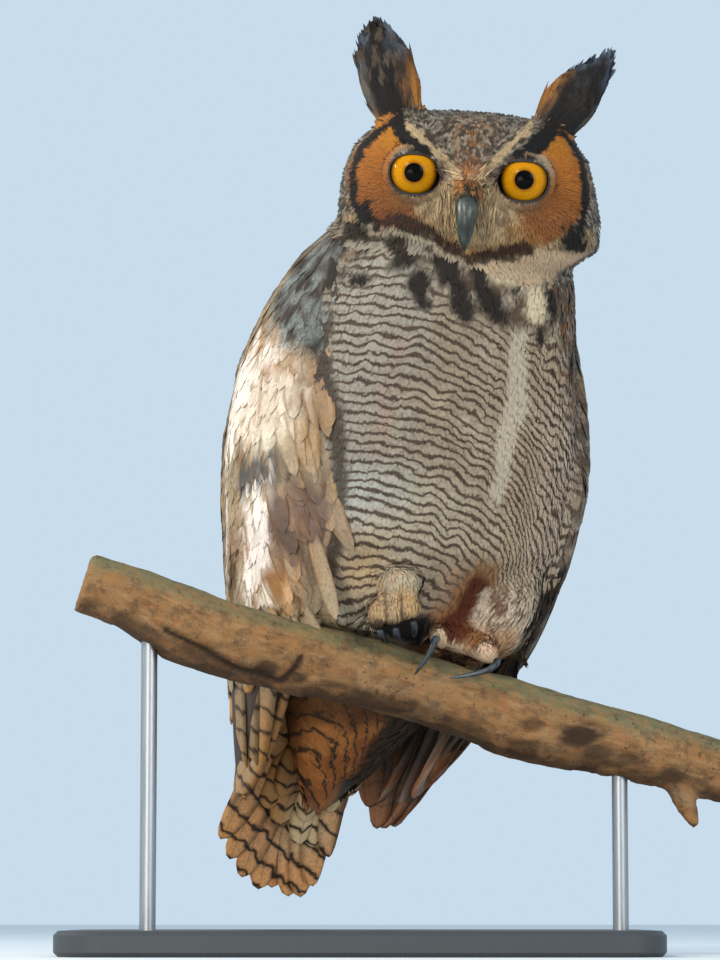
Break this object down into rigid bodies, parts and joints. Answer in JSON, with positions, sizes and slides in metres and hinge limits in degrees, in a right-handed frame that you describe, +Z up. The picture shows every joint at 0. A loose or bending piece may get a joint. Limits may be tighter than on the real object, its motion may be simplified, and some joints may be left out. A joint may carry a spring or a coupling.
{
  "type": "great horned owl on a perch",
  "caption": "Life-size great horned owl gripping a cut length of branch with one foot drawn up, held over a flat display base by steel rods.",
  "frame": {"origin": "centre of the stand base's underside", "axes": "+Z up; -Y is towards the viewer that the face looks at; +X is that viewer's right, the owl's left"},
  "size_m": [0.3809, 0.2603, 0.5235],
  "materials": {
    "feathers_head": "soft short feathers, matt, rusty disc with black rim and pale brows",
    "feathers_body": "soft contour feathers, matt, finely barred brown on cream",
    "feathers_flight": "firm vanes, satin, barred dark brown on buff",
    "feathers_foot": "short down, matt, pale buff",
    "eye": "wet gloss, yellow iris with black pupil",
    "horn": "semi-gloss keratin, blue-grey to black",
    "bark": "flaking bark, rough, orange-brown with grey-green top",
    "steel": "satin",
    "stand_paint": "matt pale grey"
  },
  "bodies": {
    "root": {"bill_lower": "horn", "bill_upper": "horn", "ear_tuft_left": "feathers_head", "ear_tuft_right": "feathers_head", "eye_left": "eye", "eye_right": "eye", "foot_left": "feathers_foot", "foot_right": "feathers_foot", "head": "feathers_head", "leg_left": "feathers_body", "leg_right": "feathers_body", "neck": "feathers_body", "perch": "bark", "stand_base": "stand_paint", "stand_rod_left": "steel", "stand_rod_right": "steel", "tail": "feathers_flight", "talon_left_hind": "horn", "talon_left_inner_front": "horn", "talon_left_middle_front": "horn", "talon_left_outer_back": "horn", "talon_right_inner_front": "horn", "talon_right_middle_front": "horn", "talon_right_outer_back": "horn", "trunk": "feathers_body", "wing_left_coverts": "feathers_flight", "wing_left_quills": "feathers_flight", "wing_right_coverts": "feathers_flight", "wing_right_quills": "feathers_flight"}
  },
  "joints": []
}
